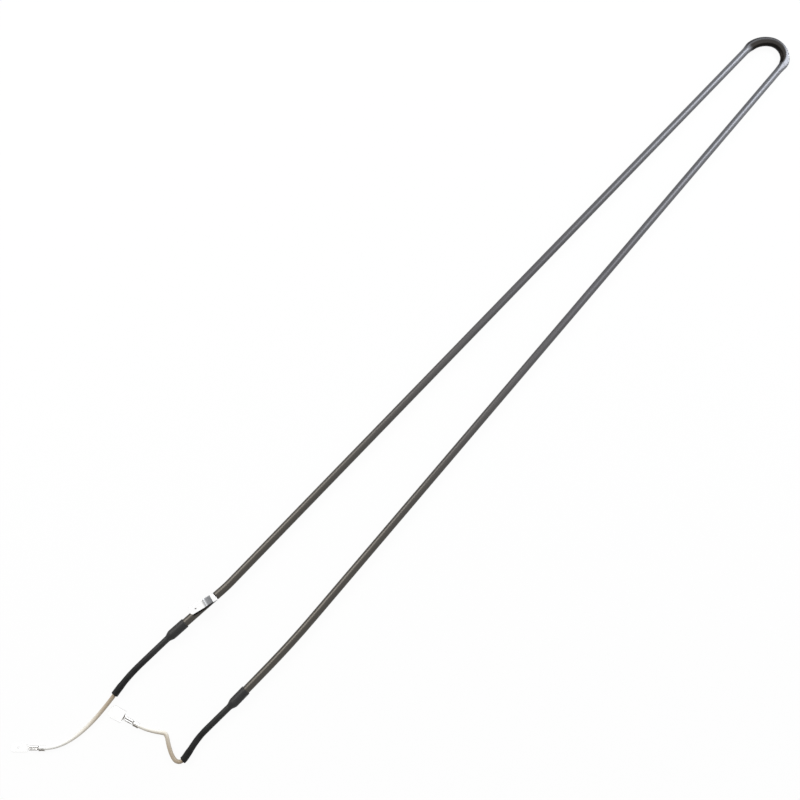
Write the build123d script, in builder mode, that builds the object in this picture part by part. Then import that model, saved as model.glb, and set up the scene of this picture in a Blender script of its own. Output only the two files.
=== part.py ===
from build123d import *

import os
from math import radians, tan

# Hairpin tubular heating element of a defrost system, lying flat on a surface at z = 0.
# Millimetres. +X runs from the leads to the hairpin bend, +Z is up, and left is +Y.
# The origin is on the surface, under the middle of the tube and its sleeves.

# ---------------------------------------------------------------- driving dimensions
# The sheath tube: a hairpin whose legs splay apart from the bend and turn back a little
# near their ends. Each leg is a straight run, a wide turn and a tail.
tube_radius = 3.25
tube_wall = 0.6
bend_x = 380.5
bend_y = -4.1
bend_radius = 16.7
splay = 1.49
left_leg = 658.0
left_turn_radius = 100.0
left_turn = 4.66
left_tail = 51.8
right_leg = 634.4
right_turn_radius = 800.0
right_turn = 3.94
right_tail = 34.4

# The bend is pressed between flat dies, which makes it wide and low.
press_width = 8.6
press_height = 4.7
press_crown = 0.5
press_run_in = 9.0
die_entry_radius = 30.0

# Clearance all round each piece that sits inside another.
fit_gap = 0.08

# Shrink sleeves, each over a tube end, a joint and the start of a lead.
sleeve_wall = 0.75
sleeve_grip = 13.3
sleeve_shoulder = 5.0
sleeve_radius = 2.5
sleeve_hem = 9.0
sleeve_hem_radius = 2.65
sleeve_reach = {"left": 62.0, "right": 57.2}

# Each tube end's bushing and seal, the pin through them, and the splice outside, which
# swings to its left and dips from the tube's axis.
bushing_depth = 8.0
bushing_nose = 8.0
seal_depth = 5.0
pin_radius = 1.15
pin_inside = 30.0
pin_outside = 16.0
coil_radius = 1.5
coil_grip = 8.0
splice_length = 25.0
splice_swing = {"left": 2.3, "right": -1.3}
splice_dip = 1.2

# Leads. Each is plain inside its insulation, and its bared strands end in a terminal.
wire_radius = 1.6
lead_first_run = {"left": 8.0, "right": 3.5}
strand_radius = 0.7
strand_bend = 0.9
strand_step = 0.4
strand_end = 8.1

# Crimped terminals. Each is one strip: a barrel that grips the insulation, a barrel on
# the strands, a channel between and beyond them, and the blade.
strip = 0.4
grip_barrel = 4.5
grip_overhang = 0.5
grip_seam = 0.5
barrel_gap = 1.1
wire_barrel = 6.0
wire_barrel_height = 2.75
wire_lobe_radius = 0.85
wire_lobe_offset = 0.8
channel_width = 3.3
channel_height = 1.1
channel_length = 0.8
shoulder_length = 1.5
blade_thickness = 0.8
blade_bevel = 0.2
blade_length = 11.5
blade_width = {"left": 6.3, "right": 9.5}
blade_corner = {"left": 1.3, "right": 2.2}
blade_hole_radius = {"left": 0.85}
blade_hole_from_tip = 5.4

# Earth tab: a strip welded on the left leg by a short foot, folded up to its blade.
tab_width = 6.3
tab_thickness = 0.8
tab_from_end = 42.5
tab_yaw = 10.7
tab_foot = 3.2
tab_riser = 5.2
tab_rise = 3.5
tab_fold_radius = 1.9
tab_bend_in = 0.8
tab_blade = 12.5
tab_corner = 1.3
tab_bevel = 0.2
tab_hole_radius = 0.83
tab_hole_from_tip = 5.1
weld_throat = 0.1
weld_length = 2.2
weld_width = 4.8
weld_depth = 1.1
weld_inset = 0.4

# The leads' routes, corner by corner, in the frame of each tube end: along its axis,
# to its left, and up. A first run along the splice's axis leads to the first of them.
# The last run is along the terminal's axis.
axis_z = tube_radius + sleeve_wall
terminal_z = strip + fit_gap + wire_radius
strand_z = strip + fit_gap + strand_radius
routes = {
    "left": [
        (53.0, 3.6, 2.95),
        (67.5, 7.1, 2.6),
        (84.0, 9.8, wire_radius + 0.1),
        (98.0, 10.4, wire_radius),
        (110.5, 8.7, wire_radius),
        (121.2, 4.0, terminal_z),
        (127.1, -1.5, terminal_z),
    ],
    "right": [
        (43.5, 0.8, 3.05),
        (51.0, 2.4, 2.85),
        (57.8, 3.4, 2.75),
        (60.9, 0.3, 2.5),
        (60.3, -5.0, 2.0),
        (56.7, -12.7, wire_radius),
        (51.6, -20.3, wire_radius + 0.02),
        (54.3, -24.4, wire_radius),
        (57.5, -29.3, wire_radius + 0.1),
        (60.9, -36.2, terminal_z),
        (63.0, -43.3, terminal_z),
    ],
}
arc_share = 0.45

# ------------------------------------------------------------------ tube centre line
with BuildLine(Plane.XY.offset(axis_z)) as centre_line:
    bend = CenterArc((bend_x, bend_y), bend_radius, 90 - splay, 2 * splay - 180)
    left_run = PolarLine(bend @ 0, left_leg, 180 - splay)
    left_bow = JernArc(left_run @ 1, left_run % 1, left_turn_radius, -left_turn)
    left_end = Line(left_bow @ 1, left_bow @ 1 + (left_bow % 1) * left_tail)
    right_run = PolarLine(bend @ 1, right_leg, 180 + splay)
    right_bow = JernArc(right_run @ 1, right_run % 1, right_turn_radius, -right_turn)
    right_end = Line(right_bow @ 1, right_bow @ 1 + (right_bow % 1) * right_tail)
tube_path = Wire(centre_line.edges())
legs = [
    Wire([left_run.edge(), left_bow.edge(), left_end.edge()]),
    Wire([right_run.edge(), right_bow.edge(), right_end.edge()]),
]
tube_end = {"left": left_end, "right": right_end}


def stretch(path, start, end):
    """The part of a path between two distances from its start."""
    return path.trim(start / path.length, end / path.length)


def run_round(path, radius, mode=Mode.ADD):
    """Sweep a disc along a path, in the part that is being built."""
    with BuildSketch(Plane(path @ 0, z_dir=path % 0)) as disc:
        Circle(radius)
    sweep(disc.sketch, path=path, mode=mode)


# --------------------------------------------------------------------- lead routes
# At each tube end are its mouth, whose plane faces outwards with its X up, and the same
# plane swung on to the splice's axis. Each terminal has its frame on the surface.
mouth_plane = {}
splice_plane = {}
lead_path = {}
strand_path = {}
terminal_frame = {}
splice_end = bushing_nose + splice_length
for side, route in routes.items():
    end = tube_end[side] @ 1
    outwards = tube_end[side] % 1
    mouth_plane[side] = Plane(end, x_dir=(0, 0, 1), z_dir=outwards)
    swung = outwards.rotate(Axis.Z, splice_swing[side])
    dipped = swung - Vector(0, 0, tan(radians(splice_dip)))
    splice_plane[side] = Plane(end, x_dir=(0, 0, 1), z_dir=dipped)
    end_frame = Plane((end.X, end.Y, 0), x_dir=outwards, z_dir=(0, 0, 1))
    corners = [
        splice_plane[side].offset(splice_end).origin,
        splice_plane[side].offset(splice_end + lead_first_run[side]).origin,
    ]
    corners += [end_frame.from_local_coords(Vector(*point)) for point in route]
    runs = [after - before for before, after in zip(corners, corners[1:])]
    radii = [
        arc_share * min(run.length, nxt.length) / tan(radians(run.get_angle(nxt) / 2))
        for run, nxt in zip(runs, runs[1:])
    ]
    with BuildLine() as lead_line:
        FilletPolyline(*corners, radius=radii)
    lead_path[side] = Wire(lead_line.edges())
    print(side, "lead's corner radii:", [round(radius, 1) for radius in radii])
    print(side, "lead is", round(lead_path[side].length, 1), "mm long")

    # At the insulation's end the strands step down to the floor of their barrel.
    frame = Plane((corners[-1].X, corners[-1].Y, 0), x_dir=runs[-1], z_dir=(0, 0, 1))
    terminal_frame[side] = frame
    side_on = Plane(frame.origin, x_dir=frame.x_dir, z_dir=-frame.y_dir)
    with BuildLine(side_on) as strand_line:
        FilletPolyline(
            (0, terminal_z),
            (strand_step, terminal_z),
            (strand_step + terminal_z - strand_z, strand_z),
            (strand_end, strand_z),
            radius=strand_bend,
        )
    strand_path[side] = Wire(strand_line.edges())


# ------------------------------------------------------------------ the pressed tube
def pressed_hairpin(inset):
    """The hairpin as a solid, smaller all round than the tube's outside by inset."""
    radius = tube_radius - inset
    half_width = press_width / 2 - inset
    half_height = press_height / 2 - inset
    crown = half_height + press_crown
    upright = (0, 0, 1)
    with BuildPart() as hairpin:
        for leg in legs:
            run_round(stretch(leg, press_run_in, leg.length), radius)
            leg_start = Plane(leg @ 0, x_dir=upright, z_dir=leg % 0)
            with BuildSketch(leg_start) as pressed:
                Ellipse(crown, half_width)
            with BuildSketch(leg_start.offset(press_run_in)) as as_drawn:
                Circle(radius)
            loft([pressed.sketch, as_drawn.sketch])
        with BuildSketch(Plane(bend @ 0, x_dir=upright, z_dir=bend % 0)) as pressed:
            Ellipse(crown, half_width)
        sweep(pressed.sketch, path=Wire([bend.edge()]))

        # The dies: flat over the bend, and curved away from the tube at their entry.
        past_bend = bend_x + bend_radius + press_width
        die_plane = Plane((0, bend_y, axis_z), x_dir=(1, 0, 0), z_dir=(0, -1, 0))
        with BuildSketch(die_plane) as die:
            with BuildLine():
                flat = Line((past_bend, half_height), (bend_x, half_height))
                entry = JernArc(flat @ 1, flat % 1, die_entry_radius + inset, -40)
                far = Vector((entry @ 1).X, half_height + die_entry_radius)
                Polyline(entry @ 1, far, (past_bend, far.Y), flat @ 0)
            make_face()
        upper_die = extrude(
            die.sketch, bend_radius + press_width, both=True, mode=Mode.SUBTRACT
        )
        mirror(upper_die, about=Plane.XY.offset(axis_z), mode=Mode.SUBTRACT)
    return hairpin.part


outside = pressed_hairpin(0)
inside = pressed_hairpin(tube_wall)
filling = pressed_hairpin(tube_wall + fit_gap)
bore_radius = tube_radius - tube_wall
os.makedirs("parts", exist_ok=True)

with BuildPart() as sheath_tube:
    add(outside)
    add(inside, mode=Mode.SUBTRACT)
sheath_tube.part.label = "sheath_tube"
export_step(sheath_tube.part, "parts/sheath_tube.step")

# The coil is wound so close that it is a rod here. Each end is wound on to a pin.
coil_start = pin_inside - coil_grip
coil_path = stretch(tube_path, coil_start, tube_path.length - coil_start)
with BuildPart() as heating_coil:
    run_round(coil_path, coil_radius)
    for at, inwards in ((0, 1), (1, -1)):
        with BuildSketch(Plane(coil_path @ at, z_dir=(coil_path % at) * inwards)) as eye:
            Circle(pin_radius + fit_gap)
        extrude(eye.sketch, coil_grip + fit_gap, mode=Mode.SUBTRACT)
heating_coil.part.label = "heating_coil"
export_step(heating_coil.part, "parts/heating_coil.step")

# Packed magnesia fills the tube between the two seals, round the coil and the pins.
with BuildPart() as magnesia_core:
    add(filling)
    run_round(coil_path, coil_radius + fit_gap, mode=Mode.SUBTRACT)
    for mouth in mouth_plane.values():
        with BuildSketch(mouth) as pin_bore:
            Circle(pin_radius + fit_gap)
        extrude(pin_bore.sketch, -coil_start, mode=Mode.SUBTRACT)
        with BuildSketch(mouth) as seal_room:
            Circle(tube_radius)
        extrude(seal_room.sketch, -(bushing_depth + seal_depth), mode=Mode.SUBTRACT)
magnesia_core.part.label = "magnesia_core"
export_step(magnesia_core.part, "parts/magnesia_core.step")

# ------------------------------------------------------------------------ earth tab
# Its frame is on the crown of the left leg, X along the blade. The foot's end is square
# to the leg, so it is askew on the tab.
leg_crown = left_end @ 1 - (left_end % 1) * tab_from_end + Vector(0, 0, tube_radius)
leg_frame = Plane(leg_crown, x_dir=left_end % 1, z_dir=(0, 0, 1))
tab_frame = leg_frame.rotated((0, 0, -tab_yaw))
tab_side = Plane(leg_crown, x_dir=tab_frame.x_dir, z_dir=-tab_frame.y_dir)
fold_x = tab_foot + tab_riser
tab_tip = fold_x + tab_blade
foot_z = fit_gap + weld_throat + tab_thickness / 2
blade_z = foot_z + tab_rise
askew = tan(radians(tab_yaw)) * tab_width / 2
with BuildPart() as earth_tab:
    with BuildSketch(tab_side) as folded_strip:
        with BuildLine():
            FilletPolyline(
                (-askew, foot_z),
                (tab_foot + tab_bend_in, foot_z),
                (fold_x - tab_bend_in, blade_z),
                (tab_tip, blade_z),
                radius=tab_fold_radius,
            )
        trace(line_width=tab_thickness)
    extrude(folded_strip.sketch, tab_width / 2, both=True)
    with BuildSketch(tab_frame) as outline:
        with BuildLine():
            Polyline(
                (-askew, tab_width / 2),
                (tab_tip, tab_width / 2),
                (tab_tip, -tab_width / 2),
                (askew, -tab_width / 2),
                close=True,
            )
        make_face()
        chamfer(outline.vertices().group_by(Axis.X)[-1], tab_corner)
        with Locations((tab_tip - tab_hole_from_tip, 0)):
            Circle(tab_hole_radius, mode=Mode.SUBTRACT)
    extrude(outline.sketch, blade_z + tab_thickness, mode=Mode.INTERSECT)
    tip_end = earth_tab.faces().sort_by(Axis(leg_crown, tab_frame.x_dir))[-1]
    chamfer(tip_end.edges().filter_by(Plane.XY), tab_bevel)

# The weld is a bead under the foot, on both sides of the leg's crown.
with BuildPart() as weld:
    bead_centre = leg_frame.from_local_coords(Vector(weld_inset + weld_length / 2, 0, 0))
    foot_underside = Plane(bead_centre, x_dir=leg_frame.x_dir, z_dir=(0, 0, 1))
    foot_underside = foot_underside.offset(fit_gap + weld_throat)
    with BuildSketch(foot_underside) as bead:
        RectangleRounded(weld_length, weld_width, weld_length / 3)
    extrude(bead.sketch, -weld_depth)
    run_round(legs[0], tube_radius + fit_gap, mode=Mode.SUBTRACT)
with BuildPart() as welded_tab:
    add(earth_tab.part)
    add(weld.part)
welded_tab.part.label = "earth_tab"
export_step(welded_tab.part, "parts/earth_tab.step")

# ---------------------------------------------------- the same set at each tube end
for side, path in lead_path.items():
    mouth = mouth_plane[side]
    joint = splice_plane[side]

    with BuildPart() as cold_pin:
        with BuildSketch(mouth) as inner_end:
            Circle(pin_radius)
        extrude(inner_end.sketch, -pin_inside)
        with BuildSketch(joint) as outer_end:
            Circle(pin_radius)
        extrude(outer_end.sketch, pin_outside)
    cold_pin.part.label = f"cold_pin_{side}"
    export_step(cold_pin.part, f"parts/cold_pin_{side}.step")

    with BuildPart() as resin_seal:
        with BuildSketch(mouth.offset(-bushing_depth)) as seal_ring:
            Circle(bore_radius - fit_gap)
            Circle(pin_radius + fit_gap, mode=Mode.SUBTRACT)
        extrude(seal_ring.sketch, -seal_depth)
    resin_seal.part.label = f"resin_seal_{side}"
    export_step(resin_seal.part, f"parts/resin_seal_{side}.step")

    # The bushing plugs the bore, covers the tube's end and tapers to the splice.
    with BuildPart() as end_bushing:
        with BuildSketch(mouth) as plug:
            Circle(bore_radius - fit_gap)
        extrude(plug.sketch, -bushing_depth)
        with BuildSketch(mouth) as brim:
            Circle(tube_radius)
        with BuildSketch(joint.offset(sleeve_shoulder)) as nose:
            Circle(wire_radius)
        loft([brim.sketch, nose.sketch])
        extrude(nose.sketch, bushing_nose - sleeve_shoulder)
        with BuildSketch(mouth) as inner_bore:
            Circle(pin_radius + fit_gap)
        extrude(inner_bore.sketch, -bushing_depth, mode=Mode.SUBTRACT)
        with BuildSketch(joint) as outer_bore:
            Circle(pin_radius + fit_gap)
        extrude(outer_bore.sketch, bushing_nose, mode=Mode.SUBTRACT)
    end_bushing.part.label = f"end_bushing_{side}"
    export_step(end_bushing.part, f"parts/end_bushing_{side}.step")

    # The splice is a barrel on the pin, and solid where it is crimped on the strands.
    with BuildPart() as splice:
        with BuildSketch(joint.offset(bushing_nose)) as barrel:
            Circle(wire_radius)
        extrude(barrel.sketch, splice_length)
        with BuildSketch(joint.offset(bushing_nose)) as pin_room:
            Circle(pin_radius + fit_gap)
        extrude(pin_room.sketch, pin_outside - bushing_nose, mode=Mode.SUBTRACT)
    splice.part.label = f"splice_{side}"
    export_step(splice.part, f"parts/splice_{side}.step")

    # The sleeve grips the tube's end, narrows past it and follows the lead to its hem.
    on_lead = stretch(path, 0, sleeve_reach[side] - splice_end)
    hem = stretch(path, on_lead.length - sleeve_hem, on_lead.length)
    with BuildPart() as shrink_sleeve:
        with BuildSketch(mouth) as collar:
            Circle(tube_radius + sleeve_wall)
        extrude(collar.sketch, -sleeve_grip)
        with BuildSketch(joint.offset(sleeve_shoulder)) as neck:
            Circle(sleeve_radius)
        loft([collar.sketch, neck.sketch])
        extrude(neck.sketch, splice_end - sleeve_shoulder)
        run_round(on_lead, sleeve_radius)
        run_round(hem, sleeve_hem_radius)
        with BuildSketch(mouth) as collar_bore:
            Circle(tube_radius + fit_gap)
        extrude(collar_bore.sketch, -sleeve_grip, mode=Mode.SUBTRACT)
        with BuildSketch(joint.offset(sleeve_shoulder)) as neck_bore:
            Circle(wire_radius + fit_gap)
        loft([collar_bore.sketch, neck_bore.sketch], mode=Mode.SUBTRACT)
        extrude(neck_bore.sketch, splice_end - sleeve_shoulder, mode=Mode.SUBTRACT)
        run_round(on_lead, wire_radius + fit_gap, Mode.SUBTRACT)
    shrink_sleeve.part.label = f"shrink_sleeve_{side}"
    export_step(shrink_sleeve.part, f"parts/shrink_sleeve_{side}.step")

    with BuildPart() as lead:
        run_round(path, wire_radius)
    lead.part.label = f"lead_{side}"
    export_step(lead.part, f"parts/lead_{side}.step")

    with BuildPart() as lead_strands:
        run_round(strand_path[side], strand_radius)
    lead_strands.part.label = f"lead_strands_{side}"
    export_step(lead_strands.part, f"parts/lead_strands_{side}.step")

    # The terminal, from the insulation outwards.
    frame = terminal_frame[side]
    across = Plane(frame.origin, x_dir=frame.y_dir, z_dir=frame.x_dir)
    wire_barrel_x = grip_overhang + barrel_gap
    channel_x = wire_barrel_x + wire_barrel
    shoulder_x = channel_x + channel_length
    blade_x = shoulder_x + shoulder_length
    blade_tip = blade_x + blade_length
    half_blade = blade_width[side] / 2
    with BuildPart() as terminal:
        with BuildSketch(across.offset(grip_overhang - grip_barrel)) as grip:
            with Locations((0, terminal_z)):
                Circle(terminal_z)
                Circle(terminal_z - strip, mode=Mode.SUBTRACT)
            with Locations((0, 2 * terminal_z)):
                Rectangle(grip_seam, 2 * wire_radius, mode=Mode.SUBTRACT)
        extrude(grip.sketch, grip_barrel)
        with BuildSketch(across.offset(wire_barrel_x)) as crimp:
            lobe_z = wire_barrel_height - wire_lobe_radius
            with Locations((-wire_lobe_offset, lobe_z), (wire_lobe_offset, lobe_z)):
                Circle(wire_lobe_radius)
            crimp_width = 2 * (wire_lobe_offset + wire_lobe_radius)
            Rectangle(crimp_width, lobe_z, align=(Align.CENTER, Align.MIN))
            fillet(crimp.vertices().group_by(Axis.Y)[0], wire_lobe_radius)
            with Locations((0, strand_z)):
                Circle(strand_radius + fit_gap, mode=Mode.SUBTRACT)
        extrude(crimp.sketch, wire_barrel)
        for start, length in (
            (grip_overhang, barrel_gap),
            (channel_x, channel_length),
        ):
            with BuildSketch(across.offset(start)) as channel:
                base = (Align.CENTER, Align.MIN)
                Rectangle(channel_width, channel_height, align=base)
                with Locations((0, strip)):
                    inner_width = channel_width - 2 * strip
                    Rectangle(inner_width, channel_height, align=base, mode=Mode.SUBTRACT)
            extrude(channel.sketch, length)
        with BuildSketch(frame) as blade:
            with BuildLine():
                Polyline(
                    (shoulder_x, channel_width / 2),
                    (blade_x, half_blade),
                    (blade_tip, half_blade),
                    (blade_tip, -half_blade),
                    (blade_x, -half_blade),
                    (shoulder_x, -channel_width / 2),
                    close=True,
                )
            make_face()
            chamfer(blade.vertices().group_by(Axis.X)[-1], blade_corner[side])
            if side in blade_hole_radius:
                with Locations((blade_tip - blade_hole_from_tip, 0)):
                    Circle(blade_hole_radius[side], mode=Mode.SUBTRACT)
        extrude(blade.sketch, blade_thickness)
        blade_end = terminal.faces().sort_by(Axis(frame.origin, frame.x_dir))[-1]
        chamfer(blade_end.edges().filter_by(Plane.XY), blade_bevel)
    terminal.part.label = f"terminal_{side}"
    export_step(terminal.part, f"parts/terminal_{side}.step")
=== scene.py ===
import math
import random

import bmesh
import bpy
from mathutils import Matrix, Vector, noise

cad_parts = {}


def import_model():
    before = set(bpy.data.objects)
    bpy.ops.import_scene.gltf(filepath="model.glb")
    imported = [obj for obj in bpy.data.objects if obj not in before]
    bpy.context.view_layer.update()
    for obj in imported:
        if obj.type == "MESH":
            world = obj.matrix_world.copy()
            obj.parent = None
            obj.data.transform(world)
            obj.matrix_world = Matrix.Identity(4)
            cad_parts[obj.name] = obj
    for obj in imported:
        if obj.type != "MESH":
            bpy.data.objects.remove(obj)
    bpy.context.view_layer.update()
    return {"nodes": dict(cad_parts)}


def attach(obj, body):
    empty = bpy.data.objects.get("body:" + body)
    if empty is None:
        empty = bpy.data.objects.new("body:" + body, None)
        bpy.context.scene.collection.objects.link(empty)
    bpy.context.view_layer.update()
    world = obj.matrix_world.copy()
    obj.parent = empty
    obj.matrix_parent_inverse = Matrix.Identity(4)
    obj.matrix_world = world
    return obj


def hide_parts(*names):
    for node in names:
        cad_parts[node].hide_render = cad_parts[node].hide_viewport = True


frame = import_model()

# A hairpin heating element on a white floor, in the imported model's frame. Places with
# six decimals, the leads' lengths, and the distances of the camera, the materials, the
# floor and the lamps are in metres. Other lengths are in millimetres, and MM turns them
# to metres where they are used.
MM = 0.001
UP = Vector((0, 0, 1))


def link(obj):
    bpy.context.scene.collection.objects.link(obj)
    return obj


# ------------------------------------------------------------------- camera
CAMERA_TARGET = Vector((-0.078000, 0.028400, 0.004000))
CAMERA_DISTANCE = 0.82305
CAMERA_ASIDE = 0.00033
CAMERA_HEADING = 0.1465
CAMERA_TILT = 10
CAMERA_ROLL = 47.5
camera_turn = (
    Matrix.Rotation(math.radians(CAMERA_HEADING), 3, "Z")
    @ Matrix.Rotation(math.radians(-CAMERA_TILT), 3, "Y")
    @ Matrix.Rotation(math.radians(-CAMERA_ROLL), 3, "Z")
)
camera_data = bpy.data.cameras.new("camera")
camera_data.lens = 45
camera_data.sensor_width = 36
camera = link(bpy.data.objects.new("camera", camera_data))
camera_offset = camera_turn @ Vector((-CAMERA_ASIDE, CAMERA_ASIDE, CAMERA_DISTANCE))
camera.matrix_world = (
    Matrix.Translation(CAMERA_TARGET + camera_offset) @ camera_turn.to_4x4()
)
bpy.context.scene.camera = camera


# -------------------------------------------------------------------- cords
LEAD_RADIUS = 1.6
WIRE_RADIUS = LEAD_RADIUS * MM
ROUTES = {
    "left": [
        (-0.369376, 0.038010, 0.003309),
        (-0.377357, 0.038547, 0.003141),
        (-0.389539, 0.037894, 0.002950),
        (-0.404330, 0.035967, 0.002600),
        (-0.421025, 0.035051, 0.001700),
        (-0.435008, 0.035954, 0.001600),
        (-0.447254, 0.038983, 0.001600),
        (-0.457389, 0.044803, 0.002080),
        (-0.462666, 0.050903, 0.002080),
    ],
    "right": [
        (-0.375542, -0.033201, 0.003309),
        (-0.379034, -0.032972, 0.003236),
        (-0.386114, -0.034299, 0.003050),
        (-0.393676, -0.035577, 0.002850),
        (-0.400512, -0.036285, 0.002750),
        (-0.403477, -0.033055, 0.002500),
        (-0.402651, -0.027786, 0.002000),
        (-0.398725, -0.020247, 0.001600),
        (-0.393305, -0.012872, 0.001620),
        (-0.395827, -0.008660, 0.001600),
        (-0.398815, -0.003628, 0.001700),
        (-0.401917, 0.003411, 0.002080),
        (-0.403711, 0.010594, 0.002080),
    ],
}
LEAD_EXIT = {
    "left": Vector((-0.398276, 0.036757, 0.002743)),
    "right": Vector((-0.399488, -0.036066, 0.002758)),
}
CURVE_STEPS = 16
CURVE_BEVEL_STEPS = 8


def lead_curve(name, points):
    """A round lead as a curve of one smooth spline with these control points. Blender's
    box of a curve reaches out by its points' radius in metres, so that radius is the
    wire's and the bevel multiplies it by one."""
    data = bpy.data.curves.new(name, "CURVE")
    data.dimensions = "3D"
    data.resolution_u = CURVE_STEPS
    spline = data.splines.new("NURBS")
    spline.points.add(len(points) - 1)
    for control, point in zip(spline.points, points):
        control.co = (*point, 1)
        control.radius = WIRE_RADIUS
    spline.order_u = 3
    spline.use_endpoint_u = True
    return link(bpy.data.objects.new(name, data))


def line_of(obj):
    """The points along a curve that has no bevel yet."""
    bpy.context.view_layer.update()
    mesh = bpy.data.meshes.new_from_object(obj)
    points = [vertex.co.copy() for vertex in mesh.vertices]
    bpy.data.meshes.remove(mesh)
    return points


leads = {}
lead_lines = {}
for side, route in ROUTES.items():
    lead = lead_curve(f"lead_wire_{side}", route)
    lead_lines[side] = line_of(lead)
    lead.data.bevel_depth = 1.0
    lead.data.bevel_resolution = CURVE_BEVEL_STEPS
    lead.data.use_fill_caps = True
    leads[side] = lead
    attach(lead, "root")
    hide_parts(f"lead_{side}")


# ------------------------------------------------------------ mesh helpers
UV_PER_METRE = 10
BEVELLED_ANGLE = 50
SHEET_SMOOTH_ANGLE = 35
LEVEL_FACE = 0.9999
HOLE_SIDES = 28


def mesh_object(name, bm, smooth_angle=40):
    """A new object from a bmesh, smooth but for its sharp edges."""
    bmesh.ops.recalc_face_normals(bm, faces=bm.faces)
    mesh = bpy.data.meshes.new(name)
    bm.to_mesh(mesh)
    bm.free()
    mesh.shade_smooth()
    mesh.set_sharp_from_angle(angle=math.radians(smooth_angle))
    return link(bpy.data.objects.new(name, mesh))


def thickened(obj, thickness, edge_radius, even, group=""):
    """Gives a sheet its thickness and rounds its edges. Its level faces stay flat."""
    solid = obj.modifiers.new("solid", "SOLIDIFY")
    solid.thickness = thickness * MM
    solid.offset = 0
    solid.use_even_offset = even
    solid.vertex_group = group
    bevel = obj.modifiers.new("bevel", "BEVEL")
    bevel.width = edge_radius * MM
    bevel.segments = 2
    bevel.limit_method = "ANGLE"
    bevel.angle_limit = math.radians(BEVELLED_ANGLE)
    graph = bpy.context.evaluated_depsgraph_get()
    graph.update()
    mesh = bpy.data.meshes.new_from_object(obj.evaluated_get(graph))
    obj.modifiers.clear()
    obj.data = mesh
    mesh.shade_smooth()
    mesh.set_sharp_from_angle(angle=math.radians(SHEET_SMOOTH_ANGLE))
    for face in mesh.polygons:
        if abs(face.normal.z) > LEVEL_FACE:
            face.use_smooth = False


def turns(count):
    """This many angles round a circle, in radians."""
    return [2 * math.pi * j / count for j in range(count)]


def ring_skin(bm, rings, closed=False, capped=False):
    """Quads between rings of equally many points. Their UVs run along and around."""
    uv = bm.loops.layers.uv.verify()
    made = [[bm.verts.new(point) for point in ring] for ring in rings]
    centres = [sum(ring, Vector()) / len(ring) for ring in rings]
    along = [0.0]
    for before, after in zip(centres, centres[1:]):
        along.append(along[-1] + (after - before).length)
    pairs = list(zip(range(len(made)), range(1, len(made))))
    if closed:
        pairs.append((len(made) - 1, 0))
    count = len(rings[0])
    for i, k in pairs:
        for j in range(count):
            nxt = (j + 1) % count
            face = bm.faces.new((made[i][j], made[i][nxt], made[k][nxt], made[k][j]))
            spots = ((i, j), (i, j + 1), (k, j + 1), (k, j))
            for loop, (row, column) in zip(face.loops, spots):
                loop[uv].uv = (along[row] * UV_PER_METRE, column / count)
    if capped:
        bm.faces.new(made[0][::-1])
        bm.faces.new(made[-1])


def edge_loop(bm, vertices):
    """The edges round a loop of vertices, new where there are none yet."""
    return [
        bm.edges.get(pair) or bm.edges.new(pair)
        for pair in zip(vertices, vertices[1:] + vertices[:1])
    ]


def fill_blade(bm, root, place, end, tip, corner, hole_radius=0, hole_from_tip=0):
    """Fills a flat blade on from its root row, with cut corners and a hole. The row
    ends at the side end, and place turns x and y into a point. Returns what it adds."""
    cut = math.copysign(corner, end)
    outline = [bm.verts.new(place(x, y)) for x, y in (
        (tip - corner, end), (tip, end - cut), (tip, cut - end), (tip - corner, -end)
    )]
    edges = edge_loop(bm, root + outline)
    if hole_radius:
        centre = tip - hole_from_tip
        hole = [
            bm.verts.new(place(
                centre + hole_radius * math.cos(angle), hole_radius * math.sin(angle)
            ))
            for angle in turns(HOLE_SIDES)
        ]
        edges += edge_loop(bm, hole)
        outline += hole
    bmesh.ops.triangle_fill(bm, use_beauty=True, use_dissolve=False, edges=edges)
    return outline


def frames_along(points):
    """A tangent and a level side direction at each point of a line."""
    result = []
    for i, point in enumerate(points):
        before = points[max(i - 1, 0)]
        after = points[min(i + 1, len(points) - 1)]
        tangent = (after - before).normalized()
        side = UP.cross(tangent).normalized()
        result.append((point, tangent, side, tangent.cross(side)))
    return result


def at_distance(points, distance):
    """The point of a line at a distance from its start."""
    for before, after in zip(points, points[1:]):
        run = (after - before).length
        if distance <= run:
            return before.lerp(after, distance / run)
        distance -= run
    return points[-1]


def smooth(value):
    """0 to 1 with soft ends."""
    value = min(max(value, 0.0), 1.0)
    return value * value * (3 - 2 * value)


def bell(value, width):
    """1 at zero, falling off on both sides."""
    return math.exp(-((value / width) ** 2))


# ------------------------------------------------------------- sheath tube
TUBE_RADIUS = 3.25
TUBE_WALL = 0.6
TUBE_SIDES = 48
AXIS_Z = 4.0
BEND_CENTRE = Vector((380.5, -4.1, AXIS_Z))
BEND_RADIUS = 16.7
SPLAY = 1.49
PRESS_HALF_WIDTH = 4.3
PRESS_HALF_HEIGHT = 2.35
PRESS_CROWN = 2.85
PRESS_RUN_IN = 9.0
DIE_RADIUS = 30.0
DIE_SHOULDER = 0.1
DIE_CLEAR = 0.3
NEAR_STEP = 0.75
NEAR_STATIONS = 17
FAR_STATIONS = 60
TURN_STATIONS = 12
TAIL_STATIONS = 8


def heading_at(angle):
    """The level direction at an angle in radians."""
    return Vector((math.cos(angle), math.sin(angle), 0))


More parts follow.
